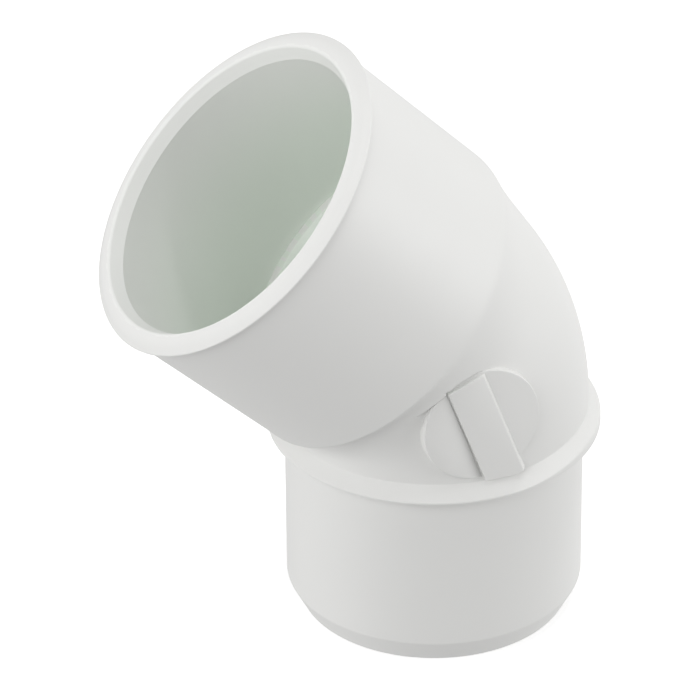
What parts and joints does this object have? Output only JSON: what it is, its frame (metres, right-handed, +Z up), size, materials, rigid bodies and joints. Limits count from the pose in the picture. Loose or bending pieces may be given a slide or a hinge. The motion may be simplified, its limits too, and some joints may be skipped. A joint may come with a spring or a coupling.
{
  "type": "pvc elbow fitting",
  "caption": "White PVC 45 degree drain elbow with a chamfered spigot, a stop collar, a bent tube and a wide socket with a bevelled rim.",
  "frame": {"origin": "middle of the bounding box's footprint, at the height of the spigot's end", "axes": "+Z up along the spigot's axis; the bend lies in the XZ plane and turns towards -X, so the socket faces -X and +Z at 45 degrees; the marking pad is on the -Y side"},
  "size_m": [0.0838, 0.0594, 0.105],
  "materials": {
    "moulded_pvc": "smooth satin moulding skin",
    "pad_pvc": "duller flat left by a tool insert"
  },
  "bodies": {
    "root": {"spigot": "moulded_pvc", "stop_collar": "moulded_pvc", "bend": "moulded_pvc", "socket_shoulder": "moulded_pvc", "socket": "moulded_pvc", "socket_rim": "moulded_pvc", "marking_pad": "pad_pvc", "marking_bar": "pad_pvc"}
  },
  "joints": []
}
